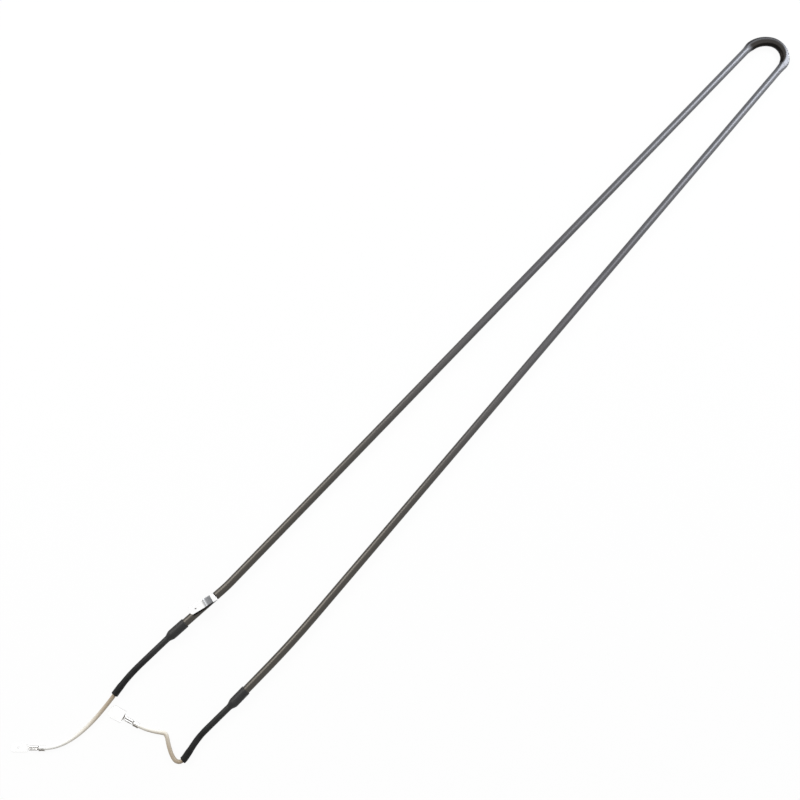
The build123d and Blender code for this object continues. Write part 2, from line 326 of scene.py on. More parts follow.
def leg_stations(sign, run, turn_radius, turn_angle, tail):
    """A leg's points with their headings and their distances from the bend, going away
    from it: a straight run, a slight turn and a straight tail."""
    heading = math.radians(180 - sign * SPLAY)
    away = heading_at(heading)
    start = BEND_CENTRE + BEND_RADIUS * heading_at(math.radians(sign * (90 - SPLAY)))
    near = [i * NEAR_STEP for i in range(NEAR_STATIONS)]
    rest = run - near[-1]
    far = [near[-1] + rest * (i + 1) / FAR_STATIONS for i in range(FAR_STATIONS)]
    stations = [(start + away * distance, away, distance) for distance in near + far]
    corner = start + away * run
    left = Vector((-away.y, away.x, 0))
    for i in range(1, TURN_STATIONS + 1):
        swing = math.radians(turn_angle) * i / TURN_STATIONS
        point = corner - left * turn_radius + turn_radius * (
            left * math.cos(swing) + away * math.sin(swing)
        )
        stations.append((point, heading_at(heading - swing), run + turn_radius * swing))
    point, away, distance = stations[-1]
    for i in range(1, TAIL_STATIONS + 1):
        step = tail * i / TAIL_STATIONS
        stations.append((point + away * step, away, distance + step))
    return stations


left_leg = leg_stations(1, run=658.0, turn_radius=100.0, turn_angle=4.66, tail=51.8)
right_leg = leg_stations(-1, run=634.4, turn_radius=800.0, turn_angle=3.94, tail=34.4)

# The real bend is slack at the left leg and tight at the right one: three arcs of a
# radius and an angle, which start before the model's bend and end past it. The dies
# bite a little way into them, and a station's third value is how far off the bite is.
BEND_ARCS = ((26.07, 55.32), (14.32, 68.04), (13.21, 53.66))
BEND_EARLY = 6.78
BEND_LATE = 3.64
ARC_STEP = 2.5
ARC_GAP = 0.3
BITE = 5.0
RIGHT_EASE = 0.45
stations = [
    (point, -away, distance - BEND_EARLY + BITE)
    for point, away, distance in reversed(left_leg)
    if distance > BEND_EARLY + ARC_GAP
]
heading = math.radians(-SPLAY)
point = left_leg[0][0] + left_leg[0][1] * BEND_EARLY
bend_length = sum(radius * math.radians(angle) for radius, angle in BEND_ARCS)
depth = 0.0
for radius, angle in BEND_ARCS:
    steps = round(angle / ARC_STEP)
    step = math.radians(angle) / steps
    chord = 2 * radius * math.sin(step / 2)
    for _ in range(steps):
        inside = min(depth, bend_length - depth)
        stations.append((point, heading_at(heading), max(BITE - inside, 0)))
        point = point + chord * heading_at(heading - step / 2)
        heading -= step
        depth += radius * step
start, away, _ = right_leg[0]
past_bend = [
    (start + away * distance, away, distance)
    for distance in (-BEND_LATE, -BEND_LATE / 2)
]
stations += [
    (point, away, BITE + RIGHT_EASE * (distance + BEND_LATE))
    for point, away, distance in past_bend + right_leg
]


def soft_limit(value, limit, softness=DIE_SHOULDER):
    """A value held below a limit with a rounded shoulder."""
    total = math.exp(-value / softness) + math.exp(-limit / softness)
    return -softness * math.log(total)


def tube_section(station, inset, count=TUBE_SIDES):
    """A ring of the tube: round on the legs, wide and low at the pressed bend."""
    point, heading, distance = station
    pressed = 1 - smooth(distance / PRESS_RUN_IN)
    half_width = TUBE_RADIUS + (PRESS_HALF_WIDTH - TUBE_RADIUS) * pressed - inset
    half_height = TUBE_RADIUS + (PRESS_CROWN - TUBE_RADIUS) * pressed - inset
    die = PRESS_HALF_HEIGHT + distance * distance / (2 * DIE_RADIUS) - inset
    side = UP.cross(heading)
    ring = []
    for angle in turns(count):
        height = half_height * math.sin(angle)
        if die < half_height + DIE_CLEAR:
            height = math.copysign(soft_limit(abs(height), die), height)
        offset = side * half_width * math.cos(angle) + UP * height
        ring.append((point + offset) * MM)
    return ring


# The dies' dark scale, which also paints a dark reflection on the pressed flats and the
# inner side of the bend. Its outer edge moves out as the bend turns, and is given as
# the
# cosine of the angle round the tube: 1 faces out of the bend and -1 into it.
DARK_FADE = (1, 8)
DARK_EDGE = 0.25
DARK_EDGE_FROM = 47.5
DARK_EDGE_TURN = 80
DARK_EDGE_MOST = 1.3
DARK_EDGE_SOFT = 0.4
DARK_INNER = (1.2, 0.3)
RIM_START = 0.1
RIM_SOFT = 0.5
RIM_LIGHTER = 0.24


def scale_and_reflection_share(station, angle):
    """How dark the dies' scale and the painted dark reflection make the surface: the
    flats, the inner side, and the rim near the left leg. Towards the right leg the rim
    is left lighter, where the rim lamp's highlight falls."""
    _, heading, distance = station
    pressed = 1 - smooth((distance - DARK_FADE[0]) / DARK_FADE[1])
    outwards = math.cos(angle)
    turned = math.degrees(math.atan2(heading.x, -heading.y))
    edge = DARK_EDGE + (turned + DARK_EDGE_FROM) / DARK_EDGE_TURN
    edge = min(edge, DARK_EDGE_MOST)
    rim = 1 - RIM_LIGHTER * smooth((outwards - RIM_START) / RIM_SOFT)
    outer = smooth((edge - outwards) / DARK_EDGE_SOFT)
    inner = smooth((outwards + DARK_INNER[0]) / DARK_INNER[1])
    return pressed * rim * outer * inner


bm = bmesh.new()
rings = [tube_section(station, 0) for station in stations]
rings += [tube_section(station, TUBE_WALL) for station in reversed(stations)]
ring_skin(bm, rings, closed=True)
tube = mesh_object("sheath_tube_fine", bm, smooth_angle=35)
# The share of the dies' scale and of the painted dark reflection at each point of the
# tube.
shares = [
    scale_and_reflection_share(station, angle)
    for station in stations + stations[::-1]
    for angle in turns(TUBE_SIDES)
]
scale_and_dark_reflection = tube.data.attributes.new("scale_and_dark_reflection", "FLOAT", "POINT")
scale_and_dark_reflection.data.foreach_set("value", shares)
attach(tube, "root")
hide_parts("sheath_tube")

# What fills the tube follows it: packed magnesia round the coil and the pins. The coil
# grips the pins with a socket at each end. Distances count from the tube's ends.
SEAL_END = 13.0
COIL_START = 22.0
COIL_GRIP = 8.0
COIL_RADIUS = 1.5
PIN_RADIUS = 1.15
FIT = 0.08
PIN_SOCKET = PIN_RADIUS + FIT
SOCKET_FLOOR = 0.3
FILLING_SIDES = 24
STATION_GAP = 0.2


def disc_ring(station, radius):
    point, heading, _ = station
    side = UP.cross(heading)
    return [
        (point + radius * (side * math.cos(angle) + UP * math.sin(angle))) * MM
        for angle in turns(FILLING_SIDES)
    ]


def from_ends(distance):
    """The tube's stations that are further than a distance from both its ends."""
    first, first_way, first_bite = stations[0]
    last, last_way, last_bite = stations[-1]
    inner = [
        station for station in stations
        if min((station[0] - first).length, (station[0] - last).length)
        > distance + STATION_GAP
    ]
    return [
        (first + first_way * distance, first_way, first_bite),
        *inner,
        (last - last_way * distance, last_way, last_bite),
    ]


packed = from_ends(SEAL_END)
on_coil = from_ends(COIL_START)
gripped = from_ends(COIL_START + COIL_GRIP)
bm = bmesh.new()
rings = [tube_section(station, TUBE_WALL + FIT, FILLING_SIDES) for station in packed]
rings += [disc_ring(packed[-1], PIN_SOCKET), disc_ring(on_coil[-1], PIN_SOCKET)]
rings += [disc_ring(station, COIL_RADIUS + FIT) for station in reversed(on_coil)]
rings += [disc_ring(on_coil[0], PIN_SOCKET), disc_ring(packed[0], PIN_SOCKET)]
ring_skin(bm, rings, closed=True)
magnesia = mesh_object("magnesia_packed", bm, smooth_angle=35)
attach(magnesia, "root")
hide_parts("magnesia_core")

bm = bmesh.new()
rings = [disc_ring(gripped[0], SOCKET_FLOOR), disc_ring(gripped[0], PIN_SOCKET)]
rings += [disc_ring(on_coil[0], PIN_SOCKET)]
rings += [disc_ring(station, COIL_RADIUS) for station in on_coil]
rings += [disc_ring(on_coil[-1], PIN_SOCKET)]
rings += [disc_ring(gripped[-1], PIN_SOCKET), disc_ring(gripped[-1], SOCKET_FLOOR)]
ring_skin(bm, rings, capped=True)
coil = mesh_object("coil_wound", bm, smooth_angle=35)
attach(coil, "root")
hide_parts("heating_coil")


# ----------------------------------------------------------- shrink sleeves
MOUTH = {
    "left": (Vector((-0.336458, 0.035795, 0.004)), Vector((-0.994245, 0.107132, 0))),
    "right": (Vector((-0.342620, -0.035359, 0.004)), Vector((-0.999086, 0.042748, 0))),
}
SPLICE_AXIS = {
    "left": Vector((-0.997524, 0.06713, -0.020942)).normalized(),
    "right": Vector((-0.99764, 0.065389, -0.020942)).normalized(),
}
SPLICE_END = 33.0
SPLICE_EDGE = 1.6
SPLICE_STEP = 0.07
SLEEVE_GRIP = 13.3
SLEEVE_SQUEEZE = 0.05
SLEEVE_SHOULDER = 5.0
SHOULDER_EARLY = 0.3
SLEEVE_WALL = 0.75
SLEEVE_RADIUS = 2.5
SLEEVE_REACH = {"left": 61.7, "right": 57.2}
SLEEVE_SIDES = 40
HEM_LENGTH = 9.0
HEM_RADIUS = 2.75
HEM_RUN = 4.0
PLEAT_PLACE = 2.2
PLEAT_COUNT = 5
PLEAT_DEPTH = 0.07
WRINKLE_DEPTH = 0.05
WRINKLE_PITCH = 0.22
EDGE_RADIUS = 0.3
EDGE_STEPS = (0, 0.05, 0.12, 0.2, 0.3)
BODY_MARGIN = 0.8
COARSE_STEP = 0.7
FINE_STEP = 0.35
FINE_FROM, FINE_TO = -1, 6
BORE_GAP = 0.08
# The sleeve shrinks in a softer line than the splice and the lead in it: a point of its
# axis is a mean over AXIS_SOFT to both sides, and over less near the sleeve's ends.
AXIS_SOFT = 6
AXIS_SOFT_START = 12
AXIS_SOFT_END = 10


def axis_point(side, distance):
    """A point on the tube's end, the splice or the lead."""
    mouth, outwards = MOUTH[side]
    if distance <= 0:
        return mouth + outwards * distance * MM
    if distance <= SPLICE_END:
        return mouth + SPLICE_AXIS[side] * distance * MM
    return at_distance(lead_lines[side], (distance - SPLICE_END) * MM)


def sleeve_point(side, distance):
    """A point of a sleeve's axis, from a distance past the tube's mouth."""
    to_hem = SLEEVE_REACH[side] - distance
    soft = AXIS_SOFT * smooth(distance / AXIS_SOFT_START)
    soft *= smooth(to_hem / AXIS_SOFT_END)
    shares = (-1, -0.5, 0, 0.5, 1)
    near = [axis_point(side, distance + soft * share) for share in shares]
    return sum(near, Vector()) / len(near)


def sleeve_outside(distance, angle, reach, seed):
    """The outside radius: a grip on the tube, a shrunk shoulder, a neck and a hem."""
    neck = smooth((distance + SHOULDER_EARLY) / (SLEEVE_SHOULDER + SHOULDER_EARLY))
    grip = TUBE_RADIUS + SLEEVE_WALL - SLEEVE_SQUEEZE
    radius = grip + (SLEEVE_RADIUS - grip) * neck
    hem = smooth((distance - (reach - HEM_LENGTH) + HEM_RUN / 2) / HEM_RUN)
    radius += (HEM_RADIUS - SLEEVE_RADIUS) * hem
    radius -= SPLICE_STEP * bell(distance - SPLICE_END, SPLICE_EDGE)
    pleats = bell(distance - PLEAT_PLACE, PLEAT_PLACE)
    radius += PLEAT_DEPTH * pleats * math.sin(PLEAT_COUNT * angle + seed)
    radius += WRINKLE_DEPTH * noise.noise(Vector((
        distance * WRINKLE_PITCH + seed * 3, math.cos(angle), math.sin(angle)
    )))
    for end in (-SLEEVE_GRIP, reach):
        inside = EDGE_RADIUS - abs(distance - end)
        if inside > 0:
            radius -= EDGE_RADIUS - math.sqrt(max(EDGE_RADIUS ** 2 - inside ** 2, 0))
    return radius


def sleeve(side, seed):
    reach = SLEEVE_REACH[side]
    distances = [step - SLEEVE_GRIP for step in EDGE_STEPS]
    distance = BODY_MARGIN - SLEEVE_GRIP
    while distance < reach - BODY_MARGIN:
        distances.append(distance)
        distance += FINE_STEP if FINE_FROM < distance < FINE_TO else COARSE_STEP
    distances += [reach - step for step in reversed(EDGE_STEPS)]
    axis = frames_along([sleeve_point(side, distance) for distance in distances])
    outer = []
    inner = []
    for distance, (point, _, level, upright) in zip(distances, axis):
        neck = smooth(distance / SLEEVE_SHOULDER)
        bore = TUBE_RADIUS + (LEAD_RADIUS - TUBE_RADIUS) * neck + BORE_GAP
        ring = []
        hole = []
        for angle in turns(SLEEVE_SIDES):
            ray = level * math.cos(angle) + upright * math.sin(angle)
            ring.append(point + ray * sleeve_outside(distance, angle, reach, seed) * MM)
            hole.append(point + ray * bore * MM)
        outer.append(ring)
        inner.append(hole)
    bm = bmesh.new()
    ring_skin(bm, outer + inner[::-1], closed=True)
    obj = mesh_object(f"sleeve_{side}", bm, smooth_angle=50)
    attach(obj, "root")
    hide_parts(f"shrink_sleeve_{side}")
    return obj


sleeves = {"left": sleeve("left", seed=0.4), "right": sleeve("right", seed=2.1)}


# ---------------------------------------------------------------- terminals
# A terminal's own frame has x along it towards the tip, from the middle of the lead's
# end, y to its left and z up from the floor.
TERMINAL_FRAME = {
    "left": (Vector((-0.462666, 0.050903, 0)), Vector((-0.654207, 0.756315, 0))),
    "right": (Vector((-0.403711, 0.010594, 0)), Vector((-0.242377, 0.970182, 0))),
}
STRIP = 0.4
STRIP_Z = STRIP / 2
WIRE_Z = 2.08
CRIMP_Z = 1.3
FLARE_RADIUS = 1.7
GRIP_HALF = 5.6
CRIMP_HALF = 5.1
CHANNEL_HALF = 2.2
FLOOR_HALF = 2.05
COLUMNS = 41
BLADE_THICKNESS = 0.8
BLADE_Z = BLADE_THICKNESS / 2
BLADE_WIDTH = {"left": 6.3, "right": 9.5}
BLADE_CORNER = {"left": 1.3, "right": 2.2}
BLADE_HOLE = {"left": 0.85, "right": 0}
BLADE_TIP = 21.4
HOLE_FROM_TIP = 5.4


def grip_section(t):
    """The barrel round the insulation, by the distance t across the flat strip."""
    radius = WIRE_Z - STRIP_Z
    angle = t / radius
    return radius * math.sin(angle), WIRE_Z - radius * math.cos(angle)


def bent_strip(t, flat, corner, upright=math.inf):
    """A strip bent up at both sides: a flat floor, a round corner, an upright side, and
    past that a lobe curled inwards."""
    distance = abs(t)
    quarter = corner * math.pi / 2
    if distance < flat:
        y, z = distance, STRIP_Z
    elif distance < flat + quarter:
        angle = (distance - flat) / corner
        y = flat + corner * math.sin(angle)
        z = STRIP_Z + corner * (1 - math.cos(angle))
    elif distance < flat + quarter + upright:
        y, z = flat + corner, STRIP_Z + corner + distance - flat - quarter
    else:
        angle = (distance - flat - quarter - upright) / corner
        y = flat + corner * math.cos(angle)
        z = STRIP_Z + corner + upright + corner * math.sin(angle)
    return math.copysign(y, t), z


def crimp_section(t):
    """The barrel on the strands: flat below, with two lobes curled in at the top."""
    return bent_strip(t, flat=0.8, corner=0.65, upright=1.05)


def channel_section(t):
    """The open channel between and after the barrels."""
    return bent_strip(t, flat=1.15, corner=0.3)


def root_section(t):
    """The flat strip as it turns into the blade."""
    return t, BLADE_Z


# Stations of the strip: x, two sections and the second one's share, half the strip's
# width, and how far its barrel flares. The blade's root, after them, has its own width.
TERMINAL_STATIONS = [
    (-4.0, grip_section, grip_section, 0, GRIP_HALF, 0.16),
    (-3.6, grip_section, grip_section, 0, GRIP_HALF, 0.04),
    (-3.0, grip_section, grip_section, 0, GRIP_HALF, 0),
    (-1.8, grip_section, grip_section, 0, GRIP_HALF, -0.05),
    (-0.6, grip_section, grip_section, 0, GRIP_HALF, 0),
    (0.1, grip_section, grip_section, 0, GRIP_HALF, 0.03),
    (0.5, grip_section, grip_section, 0, GRIP_HALF, 0.1),
    (0.9, grip_section, channel_section, 0.6, CHANNEL_HALF, 0),
    (1.25, channel_section, crimp_section, 0.4, CHANNEL_HALF, 0),
    (1.6, crimp_section, crimp_section, 0, CRIMP_HALF, 0.14),
    (1.9, crimp_section, crimp_section, 0, CRIMP_HALF, 0.03),
    *[
        (x, crimp_section, crimp_section, 0, CRIMP_HALF, 0)
        for x in (2.6, 3.6, 4.6, 5.6, 6.6)
    ],
    (7.3, crimp_section, crimp_section, 0, CRIMP_HALF, 0.03),
    (7.6, crimp_section, crimp_section, 0, CRIMP_HALF, 0.12),
    (8.0, crimp_section, channel_section, 0.6, CHANNEL_HALF, 0),
    (8.4, channel_section, channel_section, 0, 1.95, 0),
    (9.1, channel_section, root_section, 0.45, 2.0, 0),
]
ROOT_X = 9.9


def terminal(side):
    origin, ahead = TERMINAL_FRAME[side]
    left = UP.cross(ahead)

    def world(x, y, z=BLADE_Z):
        return origin + (ahead * x + left * y + UP * z) * MM

    half_blade = BLADE_WIDTH[side] / 2
    bm = bmesh.new()
    weights = bm.verts.layers.deform.verify()
    columns = [GRIP_HALF * (2 * j / (COLUMNS - 1) - 1) for j in range(COLUMNS)]
    floor = [j for j, t in enumerate(columns) if abs(t) < FLOOR_HALF]
    rows = []
    for x, first, second, share, half, flare in TERMINAL_STATIONS:
        middle = WIRE_Z if first is grip_section else CRIMP_Z
        spread = 1 + flare / FLARE_RADIUS
        row = {}
        for j, t in enumerate(columns):
            if abs(t) > half + 1e-6 or (half < CRIMP_HALF and j not in floor):
                continue
            (y0, z0), (y1, z1) = first(t), second(t)
            y = y0 + (y1 - y0) * share
            z = z0 + (z1 - z0) * share
            z = max(middle + (z - middle) * spread, STRIP_Z)
            row[j] = bm.verts.new(world(x, y * spread, z))
            row[j][weights][0] = STRIP / BLADE_THICKNESS
        rows.append(row)
    root = {}
    for j in floor:
        share = (j - floor[0]) / (len(floor) - 1)
        root[j] = bm.verts.new(world(ROOT_X, half_blade * (2 * share - 1)))
        root[j][weights][0] = 1.0
    rows.append(root)
    for near, far in zip(rows, rows[1:]):
        for j in range(COLUMNS - 1):
            if all(k in row for row in (near, far) for k in (j, j + 1)):
                bm.faces.new((near[j], near[j + 1], far[j + 1], far[j]))
    blade = fill_blade(
        bm, list(root.values()), world, end=half_blade, tip=BLADE_TIP,
        corner=BLADE_CORNER[side], hole_radius=BLADE_HOLE[side],
        hole_from_tip=HOLE_FROM_TIP,
    )
    for vertex in blade:
        vertex[weights][0] = 1.0
    obj = mesh_object(f"terminal_fine_{side}", bm)
    obj.vertex_groups.new(name="thickness")
    thickened(obj, BLADE_THICKNESS, edge_radius=0.09, even=False, group="thickness")
    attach(obj, "root")
    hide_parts(f"terminal_{side}")
    return obj


terminals = {side: terminal(side) for side in ROUTES}


# ------------------------------------------------------------- bared strands
STRAND_RADIUS = 0.13
STRAND_SIDES = 8
# Each layer's distance from the middle, number of strands and first strand's angle.
STRAND_LAYERS = ((0, 1, 0), (0.3, 6, 0), (0.56, 12, 15))
STRAND_POINTS = 25
STRAND_START = 0.6
STRAND_STOP = 8.1
STRAND_UNEVEN = (-0.3, 0.5)
STRAND_PITCH = 8 / 0.55
STRAND_Z = 1.18
STEP_START, STEP_RUN = 0.3, 1.3
FRAY_START, FRAY_RUN, FRAY = 7.4, 1.2, 0.25


def strands(side, seed):
    """Tinned wires that step down from the insulation to the floor of their barrel."""
    origin, ahead = TERMINAL_FRAME[side]
    left = UP.cross(ahead)
    rng = random.Random(seed)
    bm = bmesh.new()
    spots = [
        (distance, 360 * i / number + first)
        for distance, number, first in STRAND_LAYERS for i in range(number)
    ]
    for distance, degrees in spots:
        stop = STRAND_STOP + rng.uniform(*STRAND_UNEVEN)
        points = []
        for i in range(STRAND_POINTS):
            x = (stop + STRAND_START) * i / (STRAND_POINTS - 1) - STRAND_START
            drop = smooth((x - STEP_START) / STEP_RUN)
            centre = WIRE_Z + (STRAND_Z - WIRE_Z) * drop
            twist = math.radians(degrees + 360 * x / STRAND_PITCH)
            spread = distance * (1 + FRAY * smooth((x - FRAY_START) / FRAY_RUN))
            y = spread * math.cos(twist)
            z = centre + spread * math.sin(twist)
            points.append(origin + (ahead * x + left * y + UP * z) * MM)
        ring_skin(bm, [
            [
                point + STRAND_RADIUS * MM * (
                    level * math.cos(angle) + upright * math.sin(angle)
                )
                for angle in turns(STRAND_SIDES)
            ]
            for point, _, level, upright in frames_along(points)
        ], capped=True)
    obj = mesh_object(f"strands_{side}", bm, smooth_angle=60)
    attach(obj, "root")
    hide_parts(f"lead_strands_{side}")
    return obj


strand_bundles = {"left": strands("left", seed=3), "right": strands("right", seed=8)}


# ----------------------------------------------------------------- earth tab
# The tab's own frame has x along it from its foot to the tip, y to its left and z up
# from the tube's crown.
TAB_CROWN = Vector((-0.294203, 0.031242, 0.00725))
TAB_AHEAD = Vector((-0.957067, 0.289867, 0))
TAB_LEFT = UP.cross(TAB_AHEAD)
TAB_WIDTH = 6.3
TAB_HALF = TAB_WIDTH / 2
TAB_THICKNESS = 0.8
TAB_FOOT_Z = 0.58
TAB_BLADE_Z = 4.08
TAB_FOOT_END = -1.5
TAB_ASKEW = math.tan(math.radians(10.7)) * TAB_HALF
TAB_ASIDE = -0.35
TAB_RISE = (2.3, 7.9)
TAB_FOOT = (0.0, 0.8)
TAB_ROOT = 10.0
TAB_TIP = 20.9
TAB_CORNER = 1.3
TAB_HOLE_RADIUS = 0.83
TAB_HOLE_FROM_TIP = 5.1
TAB_COLUMNS = 13
FOLD_RADIUS = 1.9
FOLD_STEPS = 6


def tab_world(x, y, z=TAB_BLADE_Z):
    return TAB_CROWN + (TAB_AHEAD * x + TAB_LEFT * (y + TAB_ASIDE) + UP * z) * MM


def folded_profile():
    """The strip's middle line from the foot up to the blade, as x and z."""
    low, high = TAB_RISE
    slope = math.atan2(TAB_BLADE_Z - TAB_FOOT_Z, high - low)
    reach = FOLD_RADIUS * math.tan(slope / 2)
    fold = [
        (FOLD_RADIUS * math.sin(slope * i / FOLD_STEPS),
         FOLD_RADIUS * (1 - math.cos(slope * i / FOLD_STEPS)))
        for i in range(FOLD_STEPS + 1)
    ]
    points = [(x, TAB_FOOT_Z) for x in TAB_FOOT]
    points += [(low - reach + run, TAB_FOOT_Z + rise) for run, rise in fold]
    points += [(high + reach - run, TAB_BLADE_Z - rise) for run, rise in reversed(fold)]
    points.append((TAB_ROOT, TAB_BLADE_Z))
    return points


def earth_tab():
    bm = bmesh.new()
    columns = [TAB_HALF - TAB_WIDTH * j / (TAB_COLUMNS - 1) for j in range(TAB_COLUMNS)]
    rows = [[
        bm.verts.new(tab_world(TAB_FOOT_END - TAB_ASKEW * y / TAB_HALF, y, TAB_FOOT_Z))
        for y in columns
    ]]
    for x, z in folded_profile():
        rows.append([bm.verts.new(tab_world(x, y, z)) for y in columns])
    for near, far in zip(rows, rows[1:]):
        for j in range(TAB_COLUMNS - 1):
            bm.faces.new((near[j], near[j + 1], far[j + 1], far[j]))
    fill_blade(
        bm, rows[-1], tab_world, end=-TAB_HALF, tip=TAB_TIP, corner=TAB_CORNER,
        hole_radius=TAB_HOLE_RADIUS, hole_from_tip=TAB_HOLE_FROM_TIP,
    )
    obj = mesh_object("earth_tab_fine", bm)
    thickened(obj, TAB_THICKNESS, edge_radius=0.12, even=True)
    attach(obj, "root")
    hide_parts("earth_tab")
    return obj


WELD_HALF_LENGTH = 1.5
WELD_HALF_WIDTH = 1.7
WELD_LOW, WELD_HIGH = -0.35, 0.22
WELD_BACK = 0.2
WELD_X = (TAB_FOOT_END + TAB_RISE[0]) / 2 - WELD_BACK
WELD_LUMPS = 0.12
WELD_GRAIN = (3, 2, 5)
WELD_END = 0.04
WELD_RINGS = 17
WELD_SIDES = 28


def tab_weld():
    """The lumpy bead that holds the foot to the tube."""
    middle_z = (WELD_LOW + WELD_HIGH) / 2
    half_height = (WELD_HIGH - WELD_LOW) / 2
    rings = []
    for i in range(WELD_RINGS):
        place = math.sin(math.pi * (i / (WELD_RINGS - 1) - 0.5))
        swell = math.sqrt(max(1 - place * place, 0.0)) * (1 - WELD_END) + WELD_END
        ring = []
        for angle in turns(WELD_SIDES):
            along, across, level = WELD_GRAIN
            spot = Vector((place * along, math.cos(angle) * across, level))
            lump = 1 + WELD_LUMPS * noise.noise(spot)
            ring.append(tab_world(
                WELD_X + WELD_HALF_LENGTH * place * lump,
                WELD_HALF_WIDTH * swell * lump * math.cos(angle),
                middle_z + half_height * math.sin(angle) * min(swell * 2, 1),
            ))
        rings.append(ring)
    bm = bmesh.new()
    ring_skin(bm, rings, capped=True)
    obj = mesh_object("tab_weld", bm, smooth_angle=60)
    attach(obj, "root")
    return obj


tab = earth_tab()
weld = tab_weld()


# ------------------------------------------------------------------ materials
def new_material(name):
    mat = bpy.data.materials.new(name)
    mat.use_nodes = True
    return mat, mat.node_tree, mat.node_tree.nodes["Principled BSDF"]


def node(tree, kind, inputs=None, **settings):
    """A shader node with its settings, and its inputs as values or other sockets."""
    made = tree.nodes.new(kind)
    for key, value in settings.items():
        setattr(made, key, value)
    for key, value in (inputs or {}).items():
        if isinstance(value, bpy.types.NodeSocket):
            tree.links.new(value, made.inputs[key])
        else:
            made.inputs[key].default_value = value
    return made


def shade(tree, shader, **sockets):
    """Sets the shader's sockets, with underscores for the spaces in their names."""
    for key, value in sockets.items():
        socket = shader.inputs[key.replace("_", " ")]
        if isinstance(value, bpy.types.NodeSocket):
            tree.links.new(value, socket)
        else:
            socket.default_value = value


def grey(value):
    return (value, value, value, 1)


def ramp(tree, factor, stops):
    """A colour ramp with these (place, colour) stops, the two end ones first."""
    made = node(tree, "ShaderNodeValToRGB", {"Fac": factor})
    elements = made.color_ramp.elements
    for element, (place, colour) in zip(elements, stops):
        element.position, element.color = place, colour
    for place, colour in stops[2:]:
        elements.new(place).color = colour
    return made.outputs["Color"]


def object_coordinates(tree, scale=(1, 1, 1)):
    place = node(tree, "ShaderNodeTexCoord").outputs["Object"]
    mapping = node(tree, "ShaderNodeMapping", {"Vector": place, "Scale": scale})
    return mapping.outputs["Vector"]


def noise_on(tree, vector, scale, detail, **more):
    return node(
        tree, "ShaderNodeTexNoise",
        {"Vector": vector, "Scale": scale, "Detail": detail, **more},
    ).outputs["Fac"]


def mapped(tree, value, ends=(0, 1), to=(0, 1), **settings):
    """A value mapped from between two ends to between two others."""
    return node(tree, "ShaderNodeMapRange", {
        "Value": value,
        "From Min": ends[0], "From Max": ends[1],
        "To Min": to[0], "To Max": to[1],
    }, **settings).outputs["Result"]


def computed(tree, operation, *values):
    return node(
        tree, "ShaderNodeMath", dict(enumerate(values)), operation=operation
    ).outputs["Value"]


def dot_product(tree, vector, direction):
    return node(
        tree, "ShaderNodeVectorMath", {0: vector, 1: direction}, operation="DOT_PRODUCT"
    ).outputs["Value"]


def blended(tree, share, first, second, mode="MIX"):
    return node(
        tree, "ShaderNodeMix", {"Factor": share, 6: first, 7: second},
        data_type="RGBA", blend_type=mode,
    ).outputs[2]


def bump(tree, height, strength, distance):
    return node(
        tree, "ShaderNodeBump",
        {"Height": height, "Strength": strength, "Distance": distance},
    ).outputs["Normal"]


def tab_range(tree, direction, start, end):
    """0 to 1 between two places along one of the earth tab's own directions."""
    crown = TAB_CROWN.dot(direction)
    return mapped(
        tree, dot_product(tree, object_coordinates(tree), direction),
        (crown + start * MM, crown + end * MM), interpolation_type="SMOOTHSTEP",
    )


# The tube's colour shifts from one of these X to the other.
COLD_END_X, BEND_X = -0.35, 0.40
TAB_EDGE = TAB_HALF + TAB_ASIDE


def sheath_material():
    """Annealed tube: drawn along its length, brown at its cold ends and bluish at the
    bend, with the dies' dark scale, which also paints a dark reflection on the pressed
    bend, and a painted shadow of the earth tab on the tube beside it."""
    mat, tree, shader = new_material("annealed_sheath")
    uv = node(tree, "ShaderNodeTexCoord").outputs["UV"]
    lines = node(
        tree, "ShaderNodeMapping", {"Vector": uv, "Scale": (3, 40, 1)}
    ).outputs["Vector"]
    streaks = noise_on(tree, lines, scale=1.0, detail=6, Roughness=0.6)
    stretched = object_coordinates(tree, scale=(14, 30, 30))
    patches = noise_on(tree, stretched, scale=1.0, detail=3)
    place = node(
        tree, "ShaderNodeSeparateXYZ", {"Vector": object_coordinates(tree)}
    ).outputs["X"]
    along = mapped(tree, place, ends=(COLD_END_X, BEND_X))
    tint = ramp(tree, computed(tree, "MULTIPLY_ADD", patches, 0.12, along), [
        (0.05, (0.076, 0.070, 0.061, 1)),
        (0.99, (0.145, 0.148, 0.160, 1)),
        (0.35, (0.081, 0.076, 0.070, 1)),
        (0.65, (0.108, 0.106, 0.112, 1)),
    ])
    streaked = ramp(tree, streaks, [(0.25, grey(0.75)), (0.75, grey(1.15))])
    drawn = blended(tree, 0.7, tint, streaked, "MULTIPLY")
    # Painted shadow: a dark line on the tube along the earth tab's right edge, from its
    # foot to its tip.
    beside = tab_range(tree, TAB_LEFT, TAB_EDGE + 1.9, TAB_EDGE + 1.1)
    before = tab_range(tree, TAB_AHEAD, TAB_FOOT_END - 1.0, TAB_FOOT_END)
    after = tab_range(tree, TAB_AHEAD, TAB_TIP, TAB_TIP - 1.5)
    painted_tab_shadow = computed(tree, "MULTIPLY", computed(tree, "MULTIPLY", beside, before), after)
    # The dies' scale, which also paints a dark reflection on the pressed bend.
    scale = node(
        tree, "ShaderNodeAttribute", attribute_name="scale_and_dark_reflection"
    ).outputs["Fac"]
    dark = computed(tree, "MAXIMUM", painted_tab_shadow, scale)
    shade(
        tree, shader,
        Base_Color=blended(tree, dark, drawn, (0.010, 0.009, 0.008, 1)),
        Roughness=mapped(tree, streaks, to=(0.36, 0.5)),
        Metallic=1.0,
        Normal=bump(tree, streaks, strength=0.25, distance=0.00004),
    )
    return mat


# How far along -X, in metres, the sleeves start to grow duller, and where they stop.
SLEEVE_DULLS = (0.34, 0.375)


